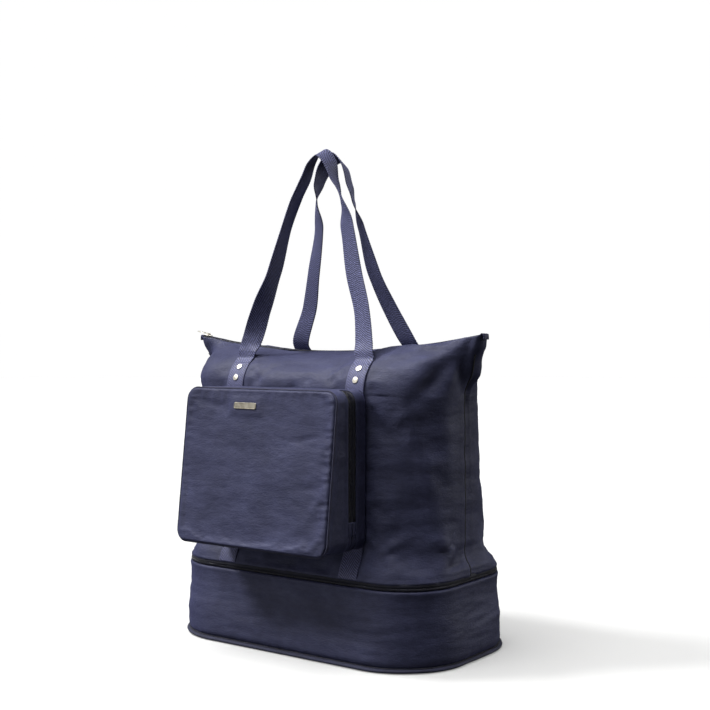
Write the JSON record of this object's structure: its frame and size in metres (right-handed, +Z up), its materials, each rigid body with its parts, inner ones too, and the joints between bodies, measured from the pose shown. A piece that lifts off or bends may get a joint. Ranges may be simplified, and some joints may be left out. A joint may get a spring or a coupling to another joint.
{
  "type": "foldable tote bag",
  "caption": "Tall zipped nylon tote with webbing handles, a zipped front pocket it folds into, and a base band that zips away to make it shorter.",
  "frame": {"origin": "on the floor under the middle of the base panel", "axes": "+X to the bag's right when facing its pocket, +Y from the pocket side to the back, +Z up"},
  "size_m": [0.5593, 0.3584, 0.7585],
  "materials": {
    "nylon": "crinkled plain-weave nylon with a soft sheen",
    "webbing": "twill webbing with firm woven edges",
    "zip_tape": "matte woven zip tape",
    "zip_teeth": "coil zip, satin",
    "binding": "matte folded binding tape",
    "metal": "polished nickel"
  },
  "bodies": {
    "base": {"base_panel": "nylon", "base_piping": "binding", "lower_zip_tape": "zip_tape", "lower_zip_teeth": "zip_teeth", "expansion_wall": "nylon"},
    "bag_body": {"body_back_panel": "nylon", "body_front_panel": "nylon", "pocket_back_panel": "nylon", "pocket_hinge_strip_rear": "nylon", "pocket_rear_band": "nylon", "pocket_zip_tape_rear": "zip_tape", "pocket_zip_teeth_rear": "zip_teeth", "rivet_back_left_lower": "metal", "rivet_back_left_upper": "metal", "rivet_back_right_lower": "metal", "rivet_back_right_upper": "metal", "rivet_front_left_lower": "metal", "rivet_front_left_upper": "metal", "rivet_front_right_lower": "metal", "rivet_front_right_upper": "metal", "side_binding_left": "binding", "side_binding_right": "binding", "strap_run_back_left": "webbing", "strap_run_back_right": "webbing", "strap_run_front_left": "webbing", "strap_run_front_right": "webbing", "top_zip_end_left": "zip_tape", "top_zip_end_right": "zip_tape", "top_zip_tape_back": "zip_tape", "top_zip_tape_front": "zip_tape", "top_zip_teeth_back": "zip_teeth", "top_zip_teeth_front": "zip_teeth", "upper_zip_tape": "zip_tape", "upper_zip_teeth": "zip_teeth"},
    "pocket_lid": {"pocket_front_panel": "nylon", "pocket_front_band": "nylon", "pocket_zip_tape_front": "zip_tape", "pocket_zip_teeth_front": "zip_teeth", "pocket_hinge_strip_front": "nylon", "name_plate": "metal"},
    "front_handle": {"handle_front": "webbing"},
    "back_handle": {"handle_back": "webbing"},
    "top_slider": {"top_zip_slider": "metal"},
    "top_pull": {"top_zip_pull": "metal"},
    "pocket_slider": {"pocket_zip_slider": "metal"},
    "pocket_pull": {"pocket_zip_pull": "metal"},
    "expander_slider": {"expander_zip_slider": "metal"},
    "expander_pull": {"expander_zip_pull": "metal"}
  },
  "joints": [
    {"name": "expander", "type": "slide", "parent": "base", "child": "bag_body", "axis": [0, 0, -1], "range_m": [0, 0.1014], "deforming": ["expansion_wall"]},
    {"name": "pocket_opens", "type": "hinge", "parent": "bag_body", "child": "pocket_lid", "pos_m": [0, -0.155, 0.165], "axis": [1, 0, 0], "range_deg": [0, 90]},
    {"name": "front_handle_swings", "type": "hinge", "parent": "bag_body", "child": "front_handle", "pos_m": [0, -0.10116, 0.42671], "axis": [1, 0, 0], "range_deg": [0, 105]},
    {"name": "back_handle_swings", "type": "hinge", "parent": "bag_body", "child": "back_handle", "pos_m": [0, 0.07135, 0.42686], "axis": [1, 0, 0], "range_deg": [-120, 0]},
    {"name": "top_zip_runs", "type": "hinge", "parent": "bag_body", "child": "top_slider", "pos_m": [0, -0.02, 1.93718], "axis": [0, -1, 0], "range_deg": [0, 19.6]},
    {"name": "top_pull_swings", "type": "hinge", "parent": "top_slider", "child": "top_pull", "pos_m": [-0.26112, -0.02, 0.4731], "axis": [0, 1, 0], "range_deg": [0, 170]},
    {"name": "pocket_zip_runs", "type": "slide", "parent": "bag_body", "child": "pocket_slider", "axis": [0, 0, 1], "range_m": [0, 0.145]},
    {"name": "pocket_pull_swings", "type": "hinge", "parent": "pocket_slider", "child": "pocket_pull", "pos_m": [-0.1478, -0.155, 0.217], "axis": [0, 1, 0], "range_deg": [0, 170]},
    {"name": "expander_zip_runs", "type": "slide", "parent": "bag_body", "child": "expander_slider", "axis": [1, 0, 0], "range_m": [0, 0.225]},
    {"name": "expander_pull_swings", "type": "hinge", "parent": "expander_slider", "child": "expander_pull", "pos_m": [-0.1, 0.141, 0.1132], "axis": [0, 0, -1], "range_deg": [0, 170]}
  ]
}
